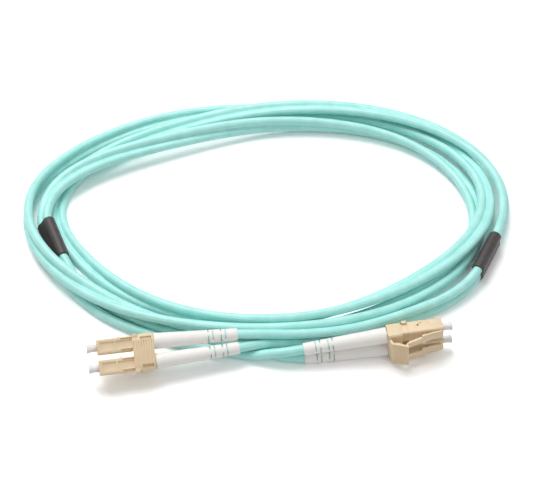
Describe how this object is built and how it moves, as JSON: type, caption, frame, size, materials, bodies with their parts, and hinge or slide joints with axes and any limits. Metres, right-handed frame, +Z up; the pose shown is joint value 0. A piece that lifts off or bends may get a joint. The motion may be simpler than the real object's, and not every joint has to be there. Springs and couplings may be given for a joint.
{
  "type": "fiber optic patch cord",
  "caption": "Duplex fiber optic patch cord: a coiled two-lobed zip cord split at dark sleeves into legs, with clipped pairs of latching capped plugs at both ends.",
  "frame": {"origin": "on the floor, under the middle of the whole object's box", "axes": "+X along the coil's longer side, from end a's plugs towards end b's; +Y away from the plugs, across the coil; +Z up"},
  "size_m": [0.1648, 0.1232, 0.0136],
  "materials": {
    "zip_jacket": "satin, smooth extruded jacket",
    "leg_jacket": "satin, smooth extruded jacket",
    "beige_plastic": "moulded, fine satin",
    "shrink_tube": "satin, dark heat-shrink",
    "boot_rubber": "smooth, soft",
    "ceramic": "polished white ceramic",
    "plated_steel": "nickel plated",
    "spring_steel": "drawn wire",
    "buffer": "buffered fibre",
    "cap_plastic": "clear, thin"
  },
  "bodies": {
    "root": {"zip_cord": "zip_jacket", "clip_a": "beige_plastic", "clip_b": "beige_plastic", "split_sleeve_a": "shrink_tube", "split_sleeve_b": "shrink_tube", "housing_a1": "beige_plastic", "housing_a2": "beige_plastic", "housing_b1": "beige_plastic", "housing_b2": "beige_plastic", "spring_a1": "spring_steel", "spring_a2": "spring_steel", "spring_b1": "spring_steel", "spring_b2": "spring_steel", "rear_body_a1": "plated_steel", "rear_body_a2": "plated_steel", "rear_body_b1": "plated_steel", "rear_body_b2": "plated_steel", "crimp_sleeve_a1": "plated_steel", "crimp_sleeve_a2": "plated_steel", "crimp_sleeve_b1": "plated_steel", "crimp_sleeve_b2": "plated_steel", "boot_a1": "boot_rubber", "boot_a2": "boot_rubber", "boot_b1": "boot_rubber", "boot_b2": "boot_rubber", "leg_a1": "leg_jacket", "leg_a2": "leg_jacket", "leg_b1": "leg_jacket", "leg_b2": "leg_jacket"},
    "trigger_a": {"trigger_a": "beige_plastic"},
    "trigger_b": {"trigger_b": "beige_plastic"},
    "latch_a1": {"latch_a1": "beige_plastic"},
    "ferrule_a1": {"ferrule_a1": "ceramic", "ferrule_holder_a1": "plated_steel", "fibre_a1": "buffer"},
    "dust_cap_a1": {"dust_cap_a1": "cap_plastic"},
    "latch_a2": {"latch_a2": "beige_plastic"},
    "ferrule_a2": {"ferrule_a2": "ceramic", "ferrule_holder_a2": "plated_steel", "fibre_a2": "buffer"},
    "dust_cap_a2": {"dust_cap_a2": "cap_plastic"},
    "latch_b1": {"latch_b1": "beige_plastic"},
    "ferrule_b1": {"ferrule_b1": "ceramic", "ferrule_holder_b1": "plated_steel", "fibre_b1": "buffer"},
    "dust_cap_b1": {"dust_cap_b1": "cap_plastic"},
    "latch_b2": {"latch_b2": "beige_plastic"},
    "ferrule_b2": {"ferrule_b2": "ceramic", "ferrule_holder_b2": "plated_steel", "fibre_b2": "buffer"},
    "dust_cap_b2": {"dust_cap_b2": "cap_plastic"}
  },
  "joints": [
    {"name": "trigger_a_press", "type": "hinge", "parent": "root", "child": "trigger_a", "pos_m": [-0.03598, -0.05131, 0.00533], "axis": [-0.1328, 0.8499, 0.5099], "range_deg": [0, 13], "stiffness_Nm_per_rad": 0.003},
    {"name": "trigger_b_press", "type": "hinge", "parent": "root", "child": "trigger_b", "pos_m": [0.03796, -0.05081, 0.00622], "axis": [-0.0783, 0.0638, 0.9949], "range_deg": [0, 13], "stiffness_Nm_per_rad": 0.003},
    {"name": "latch_a1_flex", "type": "hinge", "parent": "root", "child": "latch_a1", "pos_m": [-0.05087, -0.05722, 0.00518], "axis": [0.1328, -0.8499, -0.5099], "range_deg": [0, 5.98], "stiffness_Nm_per_rad": 0.002},
    {"name": "ferrule_a1_float", "type": "slide", "parent": "root", "child": "ferrule_a1", "axis": [0.9817, 0.1837, -0.0506], "range_m": [0, 0.0005], "stiffness_N_per_m": 400},
    {"name": "dust_cap_a1_pull", "type": "slide", "parent": "ferrule_a1", "child": "dust_cap_a1", "axis": [-0.9817, -0.1837, 0.0506], "range_m": [0, 0.008]},
    {"name": "latch_a2_flex", "type": "hinge", "parent": "root", "child": "latch_a2", "pos_m": [-0.0517, -0.05191, 0.00836], "axis": [0.1328, -0.8499, -0.5099], "range_deg": [0, 5.98], "stiffness_Nm_per_rad": 0.002},
    {"name": "ferrule_a2_float", "type": "slide", "parent": "root", "child": "ferrule_a2", "axis": [0.9817, 0.1837, -0.0506], "range_m": [0, 0.0005], "stiffness_N_per_m": 400},
    {"name": "dust_cap_a2_pull", "type": "slide", "parent": "ferrule_a2", "child": "dust_cap_a2", "axis": [-0.9817, -0.1837, 0.0506], "range_m": [0, 0.008]},
    {"name": "latch_b1_flex", "type": "hinge", "parent": "root", "child": "latch_b1", "pos_m": [0.05364, -0.04827, 0.00415], "axis": [0.0783, -0.0638, -0.9949], "range_deg": [0, 5.98], "stiffness_Nm_per_rad": 0.002},
    {"name": "ferrule_b1_float", "type": "slide", "parent": "root", "child": "ferrule_b1", "axis": [-0.9895, -0.1268, -0.0698], "range_m": [0, 0.0005], "stiffness_N_per_m": 400},
    {"name": "dust_cap_b1_pull", "type": "slide", "parent": "ferrule_b1", "child": "dust_cap_b1", "axis": [0.9895, 0.1268, 0.0698], "range_m": [0, 0.008]},
    {"name": "latch_b2_flex", "type": "hinge", "parent": "root", "child": "latch_b2", "pos_m": [0.05316, -0.04788, 0.01037], "axis": [0.0783, -0.0638, -0.9949], "range_deg": [0, 5.98], "stiffness_Nm_per_rad": 0.002},
    {"name": "ferrule_b2_float", "type": "slide", "parent": "root", "child": "ferrule_b2", "axis": [-0.9895, -0.1268, -0.0698], "range_m": [0, 0.0005], "stiffness_N_per_m": 400},
    {"name": "dust_cap_b2_pull", "type": "slide", "parent": "ferrule_b2", "child": "dust_cap_b2", "axis": [0.9895, 0.1268, 0.0698], "range_m": [0, 0.008]}
  ],
  "couplings": [
    {"joint": "latch_a1_flex", "follows": "trigger_a_press", "ratio": 0.46},
    {"joint": "latch_a2_flex", "follows": "trigger_a_press", "ratio": 0.46},
    {"joint": "latch_b1_flex", "follows": "trigger_b_press", "ratio": 0.46},
    {"joint": "latch_b2_flex", "follows": "trigger_b_press", "ratio": 0.46}
  ]
}
